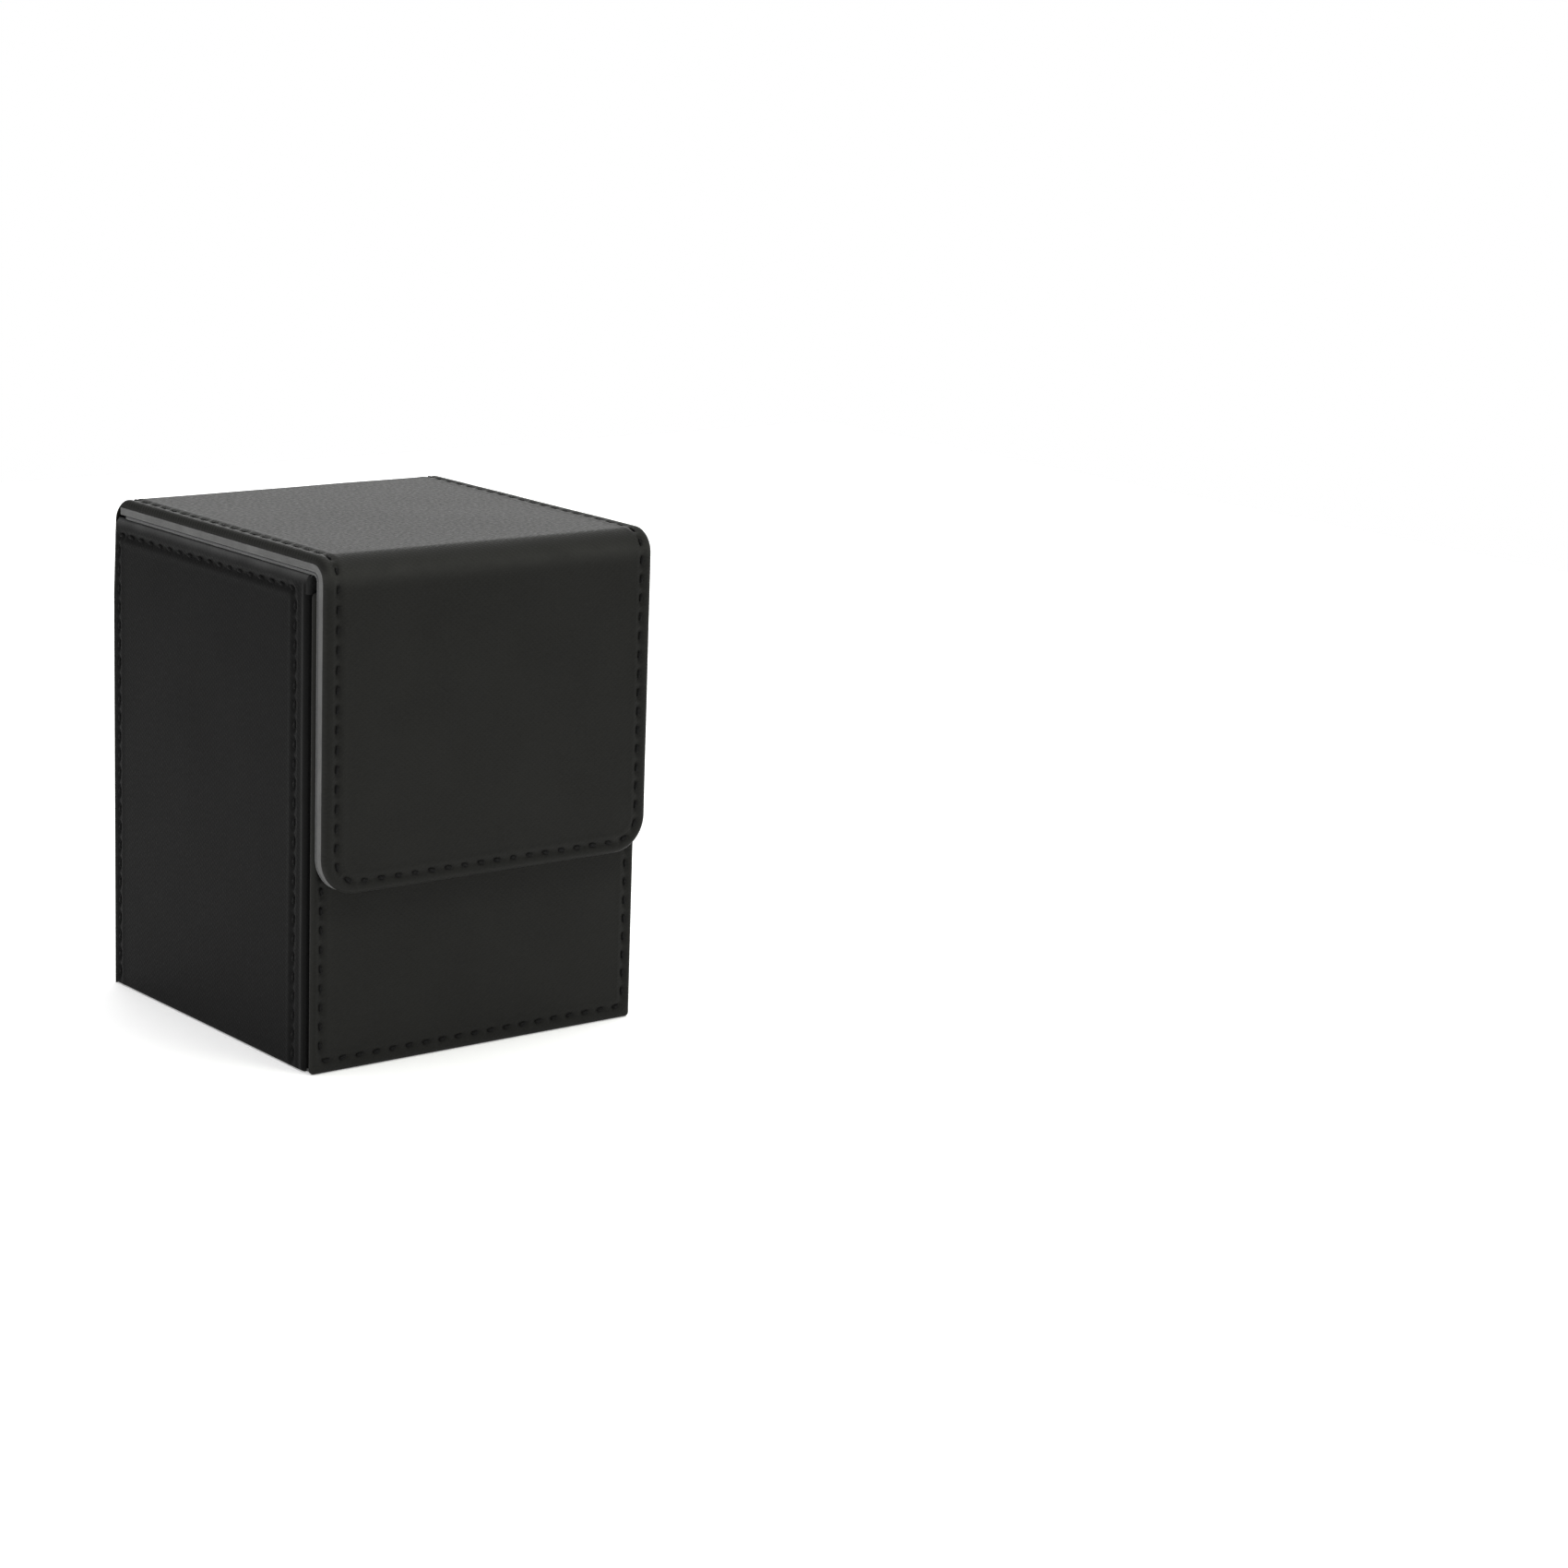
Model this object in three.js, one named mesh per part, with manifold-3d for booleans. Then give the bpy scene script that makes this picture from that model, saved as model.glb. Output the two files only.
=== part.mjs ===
// A flap-lid card deck box: a lined board tub, covered in leather, with a lid and a front flap that are
// sewn from one long wrap. The wrap bends over the top rear edge, where it is the lid's hinge, and over
// the top front edge, where it is the flap's fold. Discs in the flap and the front wall hold it shut.
//
// Millimetres. The origin is at the bottom centre of the closed box. +Z is up, +X is to the right and
// the flap is on the -Y side.
import * as THREE from 'three';
import { mergeVertices } from 'three/addons/utils/BufferGeometryUtils.js';
import Module from 'manifold-3d';

// ---------------------------------------------------------------- driving dimensions
const width = 78;
const depth = 82.5;
const height = 103.5;

const leather = 0.8;
const paddedLeather = 1.6; // leather on a thin foam backing, over the lid, the fold and the flap
const glue = 0.1;
const sideBoard = 2.0;
const frontBoard = 1.1;
const wrapBoard = 1.5;
const lining = 0.5;

const wrapInset = 0.5; // the lid and the flap are this much narrower on each side than the tub
const foldRadius = 5; // outside of the wrap over the top front edge
const hingeRadius = 5; // outside of the wrap over the top rear edge
const boardIntoHinge = 2.2; // the lid's board runs on this far inside the hinge's bend
const flapBottom = 36.8;
const flapCorner = 7.5;
const flapClearance = 0.3; // between the closed flap and the front panel
const lidClearance = 0.2; // between the closed lid and the rim

const rimRound = 2.6; // height of the leather's round over the top of each side wall
const rimTurnIn = 10; // how far the leather runs down inside the tub
const frontInset = 0.25; // the front panel is this much narrower on each side than the tub
const frontHem = 1.1; // the panel's leather stands out this far past its board's sides
const hemThickness = 1;
const frontDrop = 3.3; // the front wall ends this far under the rim of the side walls
const groove = 0.7; // open line between the front panel and each side panel
const grooveDepth = 2;

const wrapSeamMargin = 2.6;
const frontSeamMargin = 2.1;
const sideSeamFront = 4.3; // from the side panel's front edge
const sideSeamRear = 2.6; // from the rear face of the box
const sideSeamTop = 3.3; // under the rim
const seamCorner = 1.5;
const seamEnd = 1; // a seam's open ends stop this far short
const threadWidth = 0.6;
const threadProud = 0.25;

const magnetRadius = 4.9;
const magnetPocket = 5.2;
const magnetSpacing = 40;
const magnetHeight = 12; // centre of a disc above the flap's bottom edge
const magnetPlay = 0.2;

const arcSteps = 8;

// ---------------------------------------------------------------- derived places
// A wall is leather, board and lining, glued. Each list runs from the outside in, as [outer, inner]
// distances under the outer face.
const layers = (cover, board) => ({
  cover: [0, cover],
  board: [cover + glue, cover + glue + board],
  lining: [cover + board + 2 * glue, cover + board + 2 * glue + lining],
});
const wrap = layers(paddedLeather, wrapBoard);
const sides = layers(leather, sideBoard);
const front = layers(leather, frontBoard);
const back = layers(leather, paddedLeather - leather + wrapBoard); // as thick as the wrap
const wrapThickness = wrap.lining[1];

const right = width / 2;
const wrapHalf = right - wrapInset;
const rear = depth / 2;
const flapFace = -depth / 2;
const frontFace = flapFace + wrapThickness + flapClearance;
const frontInside = frontFace + front.lining[1];
const frontBack = frontFace + front.board[1]; // back of the front board
const sideFront = frontBack + groove; // front edge of each side panel
const rearInside = rear - wrapThickness;
const insideHalf = right - sides.lining[1] - glue; // half width of a lining between the side walls
const rim = height - wrapThickness - lidClearance;
const frontTop = rim - frontDrop;
const foldCentre = { y: flapFace + foldRadius, z: height - foldRadius };
const hingeCentre = { y: rear - hingeRadius, z: height - hingeRadius };
const magnetZ = flapBottom + magnetHeight;

// ---------------------------------------------------------------- materials
const material = (color, roughness, metalness = 0) =>
  new THREE.MeshStandardMaterial({ color, roughness, metalness });
const blackLeather = material(0x26261f, 0.55);
const greyBoard = material(0x8d8d8a, 0.9);
const charcoalLining = material(0x3a3a3c, 0.95);
const blackThread = material(0x0c0c0c, 0.7);
const nickel = material(0xb8b8b4, 0.3, 1);

// ---------------------------------------------------------------- helpers
const box = new THREE.Group();

function add(name, geometry, finish) {
  const mesh = new THREE.Mesh(geometry, finish);
  mesh.name = name;
  box.add(mesh);
}

function block([x0, x1], [y0, y1], [z0, z1]) {
  const geometry = new THREE.BoxGeometry(x1 - x0, y1 - y0, z1 - z0);
  return geometry.translate((x0 + x1) / 2, (y0 + y1) / 2, (z0 + z1) / 2);
}

// Every outline below is a list of [a, b] points.
const outline = (points) => new THREE.Shape(points.map(([a, b]) => new THREE.Vector2(a, b)));

// Extrudes a shape drawn in Y and Z from x0 to x1.
function alongX(shape, x0, x1) {
  const geometry = new THREE.ExtrudeGeometry(shape, { depth: x1 - x0, bevelEnabled: false });
  const toFrame = new THREE.Matrix4().makeBasis(
    new THREE.Vector3(0, 1, 0),
    new THREE.Vector3(0, 0, 1),
    new THREE.Vector3(1, 0, 0),
  );
  return geometry.applyMatrix4(toFrame).translate(x0, 0, 0);
}

// Extrudes a shape drawn in X and Z from y0 to y1.
function alongY(shape, y0, y1) {
  const geometry = new THREE.ExtrudeGeometry(shape, { depth: y1 - y0, bevelEnabled: false });
  const toFrame = new THREE.Matrix4().makeBasis(
    new THREE.Vector3(1, 0, 0),
    new THREE.Vector3(0, 0, 1),
    new THREE.Vector3(0, -1, 0),
  );
  return geometry.applyMatrix4(toFrame).translate(0, y1, 0);
}

// Points on an arc, from one angle in degrees to another.
function arc(centreA, centreB, radius, from, to) {
  const points = [];
  for (let i = 0; i <= arcSteps; i += 1) {
    const angle = THREE.MathUtils.degToRad(from + ((to - from) * i) / arcSteps);
    points.push([centreA + radius * Math.cos(angle), centreB + radius * Math.sin(angle)]);
  }
  return points;
}

// A U-shaped line round a panel: down one side, round two corners and up the other. It is open at
// openEnd and closed at closedEnd, which may be above or below it.
function uLine(middle, halfWidth, openEnd, closedEnd, radius) {
  const sign = Math.sign(openEnd - closedEnd);
  const cornerZ = closedEnd + sign * radius;
  return [
    [middle - halfWidth, openEnd],
    ...arc(middle - halfWidth + radius, cornerZ, radius, 180, 180 + sign * 90),
    ...arc(middle + halfWidth - radius, cornerZ, radius, -sign * 90, 0),
    [middle + halfWidth, openEnd],
  ];
}

// A thread's width on both sides of such a line, as a closed shape.
function seamShape(middle, halfWidth, openEnd, closedEnd, radius) {
  const half = threadWidth / 2;
  const sign = Math.sign(openEnd - closedEnd);
  const outer = uLine(middle, halfWidth + half, openEnd, closedEnd - sign * half, radius + half);
  const inner = uLine(middle, halfWidth - half, openEnd, closedEnd + sign * half, radius - half);
  return outline([...outer, ...inner.reverse()]);
}

// A quarter ring between two radii, for a layer of the wrap where it bends over an edge.
function bend(centre, [outer, inner], bendRadius, from, halfWidth) {
  const big = arc(centre.y, centre.z, bendRadius - outer, from, from + 90);
  const small = arc(centre.y, centre.z, bendRadius - inner, from, from + 90);
  return alongX(outline([...big, ...small.reverse()]), -halfWidth, halfWidth);
}

const wasm = await Module();
wasm.setup();

function toSolid(geometry) {
  const bare = geometry.clone();
  bare.deleteAttribute('normal');
  bare.deleteAttribute('uv');
  const merged = mergeVertices(bare);
  return new wasm.Manifold(
    new wasm.Mesh({
      numProp: 3,
      vertProperties: new Float32Array(merged.attributes.position.array),
      triVerts: new Uint32Array(merged.index.array),
    }),
  );
}

function toGeometry(solid) {
  const mesh = solid.getMesh();
  const geometry = new THREE.BufferGeometry();
  geometry.setAttribute('position', new THREE.BufferAttribute(mesh.vertProperties, 3));
  geometry.setIndex(new THREE.BufferAttribute(mesh.triVerts, 1));
  geometry.computeVertexNormals();
  return geometry;
}

// ---------------------------------------------------------------- tub: side walls
// A layer's place across the box, from its distances under the outer face of one side.
const spanFromSide = (side, [outer, inner]) =>
  [side * (right - outer), side * (right - inner)].sort((a, b) => a - b);

// The leather runs up the outside, over the board's top and down inside the tub. Only its outer sheet
// goes on past the inside of the rear wall, and its top rear corner is round under the hinge. Its front
// edge is tucked in round the board's end and on behind the front wall, which lines the open groove.
function sideCover(side) {
  const y1 = rear - leather - glue;
  const turnInEnd = rear - back.board[1] - glue;
  const mirrored = (points) => points.map(([x, z]) => [side * x, z]);
  const round = arc(0, 0, 1, 0, 90).map(([across, up]) => [
    right - leather + leather * across,
    rim - rimRound + rimRound * up,
  ]);
  const sheet = outline(mirrored([[right, 0], ...round, [right - leather, 0]]));
  const withTurnIn = outline(
    mirrored([
      [right, 0],
      ...round,
      [right - sides.lining[1], rim],
      [right - sides.lining[1], rim - rimTurnIn],
      [right - sides.lining[0], rim - rimTurnIn],
      [right - sides.lining[0], rim - leather],
      [right - leather, rim - leather],
      [right - leather, 0],
    ]),
  );
  const edge = outline([
    [sideFront, 0],
    [y1, 0],
    ...arc(hingeCentre.y, hingeCentre.z, hingeRadius - leather - glue, 0, 90),
    [sideFront, height],
  ]);
  const tuckZ = [leather + glue, rim];
  const tuck = block(
    spanFromSide(side, [leather / 2, grooveDepth]),
    [sideFront, sideFront + leather],
    tuckZ,
  );
  const behind = block(
    spanFromSide(side, [grooveDepth, grooveDepth + leather]),
    [frontBack + glue, sideFront + leather],
    tuckZ,
  );
  const cover = toSolid(alongY(withTurnIn, sideFront, turnInEnd))
    .add(toSolid(alongY(sheet, rearInside, y1)))
    .intersect(toSolid(alongX(edge, -right, right)))
    .add(toSolid(tuck))
    .add(toSolid(behind));
  return toGeometry(cover);
}

function sideWall(name, side) {
  add(`${name}_cover`, sideCover(side), blackLeather);
  add(
    `${name}_board`,
    block(
      spanFromSide(side, sides.board),
      [sideFront + leather + glue, rear - back.board[1] - glue],
      [leather + glue, rim - leather - glue],
    ),
    greyBoard,
  );
  add(
    `${name}_lining`,
    block(
      spanFromSide(side, sides.lining),
      [frontInside + glue, rearInside - glue],
      [sides.board[1] + glue, rim - rimTurnIn - glue],
    ),
    charcoalLining,
  );

  const seamFront = sideFront + sideSeamFront;
  const seamRear = rear - sideSeamRear;
  const seam = seamShape(
    (seamFront + seamRear) / 2,
    (seamRear - seamFront) / 2,
    seamEnd,
    rim - sideSeamTop,
    seamCorner,
  );
  add(`${name}_seam`, alongX(seam, ...spanFromSide(side, [-threadProud, 0])), blackThread);
}

sideWall('left', -1);
sideWall('right', 1);

// ---------------------------------------------------------------- discs that hold the flap
function discHoles(shape, z) {
  for (const side of [-1, 1]) {
    const hole = new THREE.Path();
    hole.absarc((side * magnetSpacing) / 2, z, magnetPocket, 0, 2 * Math.PI);
    shape.holes.push(hole);
  }
  return shape;
}

function discs(name, [y0, y1], z) {
  for (const [word, side] of [['left', -1], ['right', 1]]) {
    const disc = new THREE.CylinderGeometry(magnetRadius, magnetRadius, y1 - y0 - magnetPlay, 24);
    disc.translate((side * magnetSpacing) / 2, (y0 + y1) / 2, z);
    add(`${name}_${word}`, disc, nickel);
  }
}

// ---------------------------------------------------------------- tub: front wall
function frontWall() {
  const frontHalf = right - frontInset;
  const trayHalf = frontHalf - frontHem;
  const boardHalf = trayHalf - leather - glue;
  const boardTop = frontTop - leather - glue;
  const boardY = [frontFace + front.board[0], frontFace + front.board[1]];

  // The leather is a tray over the board's face and edges, with a hem that stands out at both sides
  // and a strip turned down inside.
  const innerX = [-insideHalf, insideHalf];
  const turnInY = [frontFace + front.lining[0], frontInside];
  const hemY = [frontFace, frontFace + hemThickness];
  const hem = toSolid(block([-frontHalf, frontHalf], hemY, [0, frontTop]));
  const tray = toSolid(block([-trayHalf, trayHalf], [frontFace, frontBack], [0, frontTop]));
  const overTop = toSolid(block(innerX, [frontFace, frontInside], [frontTop - leather, frontTop]));
  const turnIn = toSolid(block(innerX, turnInY, [frontTop - rimTurnIn, frontTop]));
  const pocketHalf = trayHalf - leather;
  const pocket = toSolid(
    block([-pocketHalf, pocketHalf], [frontFace + leather, frontBack + 1], [-1, frontTop - leather]),
  );
  const cover = tray.add(hem).subtract(pocket).add(overTop).add(turnIn);
  add('front_cover', toGeometry(cover), blackLeather);

  const board = outline([
    [-boardHalf, leather + glue],
    [boardHalf, leather + glue],
    [boardHalf, boardTop],
    [-boardHalf, boardTop],
  ]);
  add('front_board', alongY(discHoles(board, magnetZ), ...boardY), greyBoard);
  discs('front_magnet', boardY, magnetZ);

  add(
    'front_lining',
    block(innerX, turnInY, [sides.board[1] + glue, frontTop - rimTurnIn - glue]),
    charcoalLining,
  );

  const seam = seamShape(
    0,
    frontHalf - frontSeamMargin,
    frontTop - frontSeamMargin,
    wrapSeamMargin,
    seamCorner,
  );
  add('front_seam', alongY(seam, frontFace - threadProud, frontFace), blackThread);
}

frontWall();

// ---------------------------------------------------------------- tub: rear wall
function rearWall() {
  const boardHalf = right - leather - glue;
  add(
    'rear_cover',
    block([-right, right], [rear - leather, rear], [0, hingeCentre.z]),
    blackLeather,
  );
  add(
    'rear_board',
    block(
      [-boardHalf, boardHalf],
      [rear - back.board[1], rear - back.board[0]],
      [leather + glue, hingeCentre.z - glue],
    ),
    greyBoard,
  );
  add(
    'rear_lining',
    block(
      [-insideHalf, insideHalf],
      [rearInside, rear - back.lining[0]],
      [sides.board[1] + glue, hingeCentre.z - glue],
    ),
    charcoalLining,
  );
  const seam = seamShape(
    0,
    right - wrapSeamMargin,
    hingeCentre.z - seamEnd,
    wrapSeamMargin,
    seamCorner,
  );
  add('rear_seam', alongY(seam, rear, rear + threadProud), blackThread);
}

rearWall();

// ---------------------------------------------------------------- tub: floor
function floor() {
  const coverHalf = right - leather - glue;
  const boardHalf = right - sides.board[1] - glue;
  add(
    'base_cover',
    block([-coverHalf, coverHalf], [frontBack + glue, rear - leather - glue], [0, leather]),
    blackLeather,
  );
  add(
    'floor_board',
    block(
      [-boardHalf, boardHalf],
      [frontBack + glue, rear - back.board[1] - glue],
      sides.board,
    ),
    greyBoard,
  );
  add(
    'floor_lining',
    block([-insideHalf, insideHalf], [frontInside + glue, rearInside - glue], sides.lining),
    charcoalLining,
  );
}

floor();

// ---------------------------------------------------------------- wrap: hinge, lid, fold and flap
// The hinge is plain leather and lining. The fold keeps a soft grey core, so that the light edge runs on
// from the lid to the flap. Each bend turns about a line pi/4 of a radius out from its centre, both
// sideways and up. The radius is that of the wrap's middle in the fold (3.1), which keeps the middle's
// length when the fold is straight, and a little more in the hinge (3.4), so that the open lid clears
// the rear wall.
add('hinge_cover', bend(hingeCentre, back.cover, hingeRadius, 0, wrapHalf), blackLeather);
add('hinge_lining', bend(hingeCentre, wrap.lining, hingeRadius, 0, insideHalf), charcoalLining);
add('fold_cover', bend(foldCentre, wrap.cover, foldRadius, 90, wrapHalf), blackLeather);
add('fold_core', bend(foldCentre, wrap.board, foldRadius, 90, wrapHalf), greyBoard);
add('fold_lining', bend(foldCentre, wrap.lining, foldRadius, 90, wrapHalf), charcoalLining);

function lid() {
  const spanX = [-wrapHalf, wrapHalf];
  const spanY = [foldCentre.y, hingeCentre.y];
  const boardY = [foldCentre.y, hingeCentre.y + boardIntoHinge];
  const layer = ([outer, inner], y) => block(spanX, y, [height - inner, height - outer]);
  add('lid_cover', layer(wrap.cover, spanY), blackLeather);
  add('lid_board', layer(wrap.board, boardY), greyBoard);
  add('lid_lining', layer(wrap.lining, spanY), charcoalLining);

  const half = threadWidth / 2;
  for (const [word, side] of [['left', -1], ['right', 1]]) {
    const x = side * (wrapHalf - wrapSeamMargin);
    const strip = block([x - half, x + half], spanY, [height, height + threadProud]);
    add(`lid_seam_${word}`, strip, blackThread);
  }
}

lid();

function flap() {
  const shape = () => outline(uLine(0, wrapHalf, foldCentre.z, flapBottom, flapCorner));
  const spanY = ([outer, inner]) => [flapFace + outer, flapFace + inner];
  add('flap_cover', alongY(shape(), ...spanY(wrap.cover)), blackLeather);
  add('flap_board', alongY(discHoles(shape(), magnetZ), ...spanY(wrap.board)), greyBoard);
  add('flap_lining', alongY(shape(), ...spanY(wrap.lining)), charcoalLining);
  discs('flap_magnet', spanY(wrap.board), magnetZ);

  const seam = seamShape(
    0,
    wrapHalf - wrapSeamMargin,
    foldCentre.z,
    flapBottom + wrapSeamMargin,
    flapCorner - wrapSeamMargin,
  );
  add('flap_seam', alongY(seam, flapFace - threadProud, flapFace), blackThread);
}

flap();

export default box;
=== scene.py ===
"""Visual model of the card deck box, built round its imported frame.

Metres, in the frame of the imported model: +Z is up, +X to the right and the flap on the -Y side. Every
sheet of leather, core or lining is a closed mesh. The leather has rolled edges and is drawn down into a
channel along its seams, where each stitch is a short piece of twisted thread.
"""
import bisect
import math

import bmesh
import bpy
from mathutils import Matrix, Vector, kdtree, noise
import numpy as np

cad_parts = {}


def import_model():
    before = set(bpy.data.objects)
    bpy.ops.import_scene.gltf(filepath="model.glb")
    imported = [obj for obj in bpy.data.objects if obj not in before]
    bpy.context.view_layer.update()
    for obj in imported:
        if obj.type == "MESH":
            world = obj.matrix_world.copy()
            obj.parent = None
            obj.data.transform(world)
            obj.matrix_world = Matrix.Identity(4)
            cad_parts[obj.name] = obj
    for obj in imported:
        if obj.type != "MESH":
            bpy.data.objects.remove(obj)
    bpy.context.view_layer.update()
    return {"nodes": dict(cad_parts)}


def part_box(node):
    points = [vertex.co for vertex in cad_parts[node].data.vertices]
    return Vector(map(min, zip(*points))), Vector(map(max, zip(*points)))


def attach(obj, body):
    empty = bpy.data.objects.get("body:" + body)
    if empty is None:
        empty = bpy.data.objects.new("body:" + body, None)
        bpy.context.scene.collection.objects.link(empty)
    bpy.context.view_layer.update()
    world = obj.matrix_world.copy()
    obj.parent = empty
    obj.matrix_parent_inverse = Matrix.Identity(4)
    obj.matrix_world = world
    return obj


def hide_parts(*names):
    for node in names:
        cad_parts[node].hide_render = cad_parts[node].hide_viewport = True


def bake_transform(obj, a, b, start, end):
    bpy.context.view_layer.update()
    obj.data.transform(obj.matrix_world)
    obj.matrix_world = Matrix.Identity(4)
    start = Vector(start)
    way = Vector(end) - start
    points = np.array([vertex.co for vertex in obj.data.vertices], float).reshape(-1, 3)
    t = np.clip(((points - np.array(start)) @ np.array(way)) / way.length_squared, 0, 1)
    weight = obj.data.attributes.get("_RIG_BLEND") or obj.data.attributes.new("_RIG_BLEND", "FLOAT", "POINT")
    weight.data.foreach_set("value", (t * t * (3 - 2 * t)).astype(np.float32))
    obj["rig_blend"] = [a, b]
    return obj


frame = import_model()
MM = 0.001

# ---------------------------------------------------------------- places, read from the frame
LID_LOW, LID_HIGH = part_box("lid_cover")
FLAP_LOW, FLAP_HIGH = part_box("flap_cover")
REAR_LOW, REAR_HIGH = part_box("rear_cover")
SIDE_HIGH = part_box("right_cover")[1]
FRONT_LOW, FRONT_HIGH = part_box("front_cover")
CORE_LOW, CORE_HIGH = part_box("lid_board")
LINING_LOW, LINING_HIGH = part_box("lid_lining")

HALF = REAR_HIGH.x
WRAP_HALF = LID_HIGH.x
TOP = LID_HIGH.z
LEATHER = REAR_HIGH.y - REAR_LOW.y
PADDED_LEATHER = LID_HIGH.z - LID_LOW.z
FLAP_FACE = FLAP_LOW.y
REAR_FACE = REAR_HIGH.y
FOLD_Y, FOLD_Z = LID_LOW.y, FLAP_HIGH.z
FOLD_RADIUS = TOP - FOLD_Z
HINGE_Y, HINGE_Z = LID_HIGH.y, REAR_HIGH.z
HINGE_RADIUS = TOP - HINGE_Z
INSIDE_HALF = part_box("hinge_lining")[1].x
RIM = SIDE_HIGH.z
FRONT_FACE = FRONT_LOW.y
FRONT_TOP = FRONT_HIGH.z
FRONT_HALF = FRONT_HIGH.x
GLUE = 0.1 * MM
FRONT_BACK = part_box("front_board")[1].y - GLUE

# Round corners, which the nodes' boxes don't tell. The rim's round is higher than it is wide.
FLAP_CORNER = 7.5 * MM
RIM_ROUND = 2.6 * MM
RIM_ROUND_ACROSS = 1.1 * MM
SEAM_CORNER = 1.5 * MM

# ---------------------------------------------------------------- leather and sewing
# Stitches of this length at this pitch lie in a shallow channel. Each draws the leather down into a pit,
# and the leather swells into a low pad beside the line.
PITCH = 3.9 * MM
DASH = 1.8 * MM
THREAD_RADIUS = 0.36 * MM
SEAM_HALF_WIDTH = 0.3 * MM
CHANNEL_DEPTH = 0.1 * MM
CHANNEL_WIDTH = 0.6 * MM
PIT_DEPTH = 0.36 * MM
PIT_WIDTH = 0.66 * MM
PAD_RISE = 0.07 * MM
PAD_AT = 1.4 * MM
PAD_WIDTH = 0.6 * MM

# Edges roll over, and the margin outside a seam falls a little towards the edge.
EDGE_ROLL = 0.6 * MM
WRAP_ROLL = 1.1 * MM
MARGIN = 2.6 * MM
MARGIN_FALL = 0.12 * MM

# Leather is painted lighter this near an edge, part wear and part painted edge highlight. A plain edge counts as
# this much further away than the rims and the fold, which carry a painted sheen and are lightened most.
WEAR_AND_SHEEN_REACH = 0.7 * MM
LESS_WEAR_AND_SHEEN = 0.8 * MM

WAVE_RISE = 0.07 * MM
WAVE_LENGTH = 17 * MM

# Spacing of the points of a mesh.
FINE = 0.3 * MM
ALONG_SEAM = 0.45 * MM
COARSE = 1.8 * MM
FINE_BORDER = 6 * MM

# Names of the map of the grain and of the note of how much the leather is lightened by wear and painted sheen.
GRAIN = "grain"
EDGE = "edge"


def even(start, end, step):
    """Evenly spaced numbers from start to end, about a step apart."""
    count = max(1, round(abs(end - start) / step))
    return [start + (end - start) * i / count for i in range(count + 1)]


def bordered(low, high, fine_high=FINE_BORDER, middle=COARSE):
    """Numbers from low to high, close together near both ends."""
    run = even(low, low + FINE_BORDER, FINE)[:-1]
    run += even(low + FINE_BORDER, high - fine_high, middle)[:-1]
    return run + even(high - fine_high, high, FINE)


def rolled(distance, radius):
    """How far a rounded edge has fallen at this distance from it."""
    short = min(radius, max(0.0, radius - distance))
    return radius - math.sqrt(radius * radius - short * short)


def bell(value, middle, width):
    """A smooth hump that is 1 at the middle."""
    return math.exp(-(((value - middle) / width) ** 2))


def arc(centre, radius, start, end, steps=10):
    """Points on an arc in the plane, from one angle in degrees to another."""
    points = []
    for angle in even(math.radians(start), math.radians(end), math.radians(abs(end - start)) / steps):
        points.append((centre[0] + radius * math.cos(angle), centre[1] + radius * math.sin(angle)))
    return points


def seam_box(node):
    """The box of the middle line of a seam strip in the frame."""
    low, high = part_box(node)
    half_width = Vector((1, 1, 1)) * SEAM_HALF_WIDTH
    return low + half_width, high - half_width


class Seam:
    """A line of stitches on a flat panel, from its corner points."""

    def __init__(self, points):
        self.points = [Vector((a, b, 0)) for a, b in points]
        self.starts = [0.0]
        for here, after in zip(self.points, self.points[1:]):
            self.starts.append(self.starts[-1] + (after - here).length)
        self.length = self.starts[-1]
        count = round(self.length / PITCH)
        self.centres = [self.length * (i + 0.5) / count for i in range(count)]
        self.line = self.tree(even(0, self.length, 0.2 * MM))
        steps = (-0.5, -0.25, 0, 0.25, 0.5)
        self.pits = self.tree([centre + step * DASH for centre in self.centres for step in steps])

    def at(self, distance):
        """The point at this distance along the seam."""
        distance = min(max(distance, 0.0), self.length)
        last = len(self.points) - 2
        i = next((i for i in range(last) if self.starts[i + 1] >= distance), last)
        share = (distance - self.starts[i]) / (self.starts[i + 1] - self.starts[i])
        return self.points[i].lerp(self.points[i + 1], share)

    def tree(self, distances):
        """A search tree of the points at these distances."""
        tree = kdtree.KDTree(len(distances))
        for i, distance in enumerate(distances):
            tree.insert(self.at(distance), i)
        tree.balance()
        return tree

    def pull(self, a, b):
        """How far the sewing draws the leather down at a point of the panel."""
        point = Vector((a, b, 0))
        off_line = self.line.find(point)[2]
        if off_line > 4 * MM:
            return 0.0
        off_pit = self.pits.find(point)[2]
        channel = CHANNEL_DEPTH * bell(off_line, 0, CHANNEL_WIDTH)
        pit = PIT_DEPTH * bell(off_pit, 0, PIT_WIDTH)
        pad = PAD_RISE * bell(off_line, PAD_AT, PAD_WIDTH)
        return channel + pit - pad


def waves(a, b, seed):
    """The slow rise and fall of leather glued to a board."""
    return WAVE_RISE * noise.noise(Vector((a / WAVE_LENGTH, b / WAVE_LENGTH, seed)))


def leather_sink(seam, edge_distance, seed, roll=EDGE_ROLL):
    """A function that says how far leather lies under its panel's outer face."""

    def sink(a, b):
        edge = edge_distance(a, b)
        fall = MARGIN_FALL * max(0.0, 1 - edge / MARGIN) ** 2
        return rolled(edge, roll) + fall + seam.pull(a, b) + waves(a, b, seed)

    return sink


# ---------------------------------------------------------------- making meshes
def start_mesh():
    """An empty bmesh with its layers, which have to be there before its points are."""
    bm = bmesh.new()
    bm.loops.layers.uv.new(GRAIN)
    bm.verts.layers.float.new(EDGE)
    return bm


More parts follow.
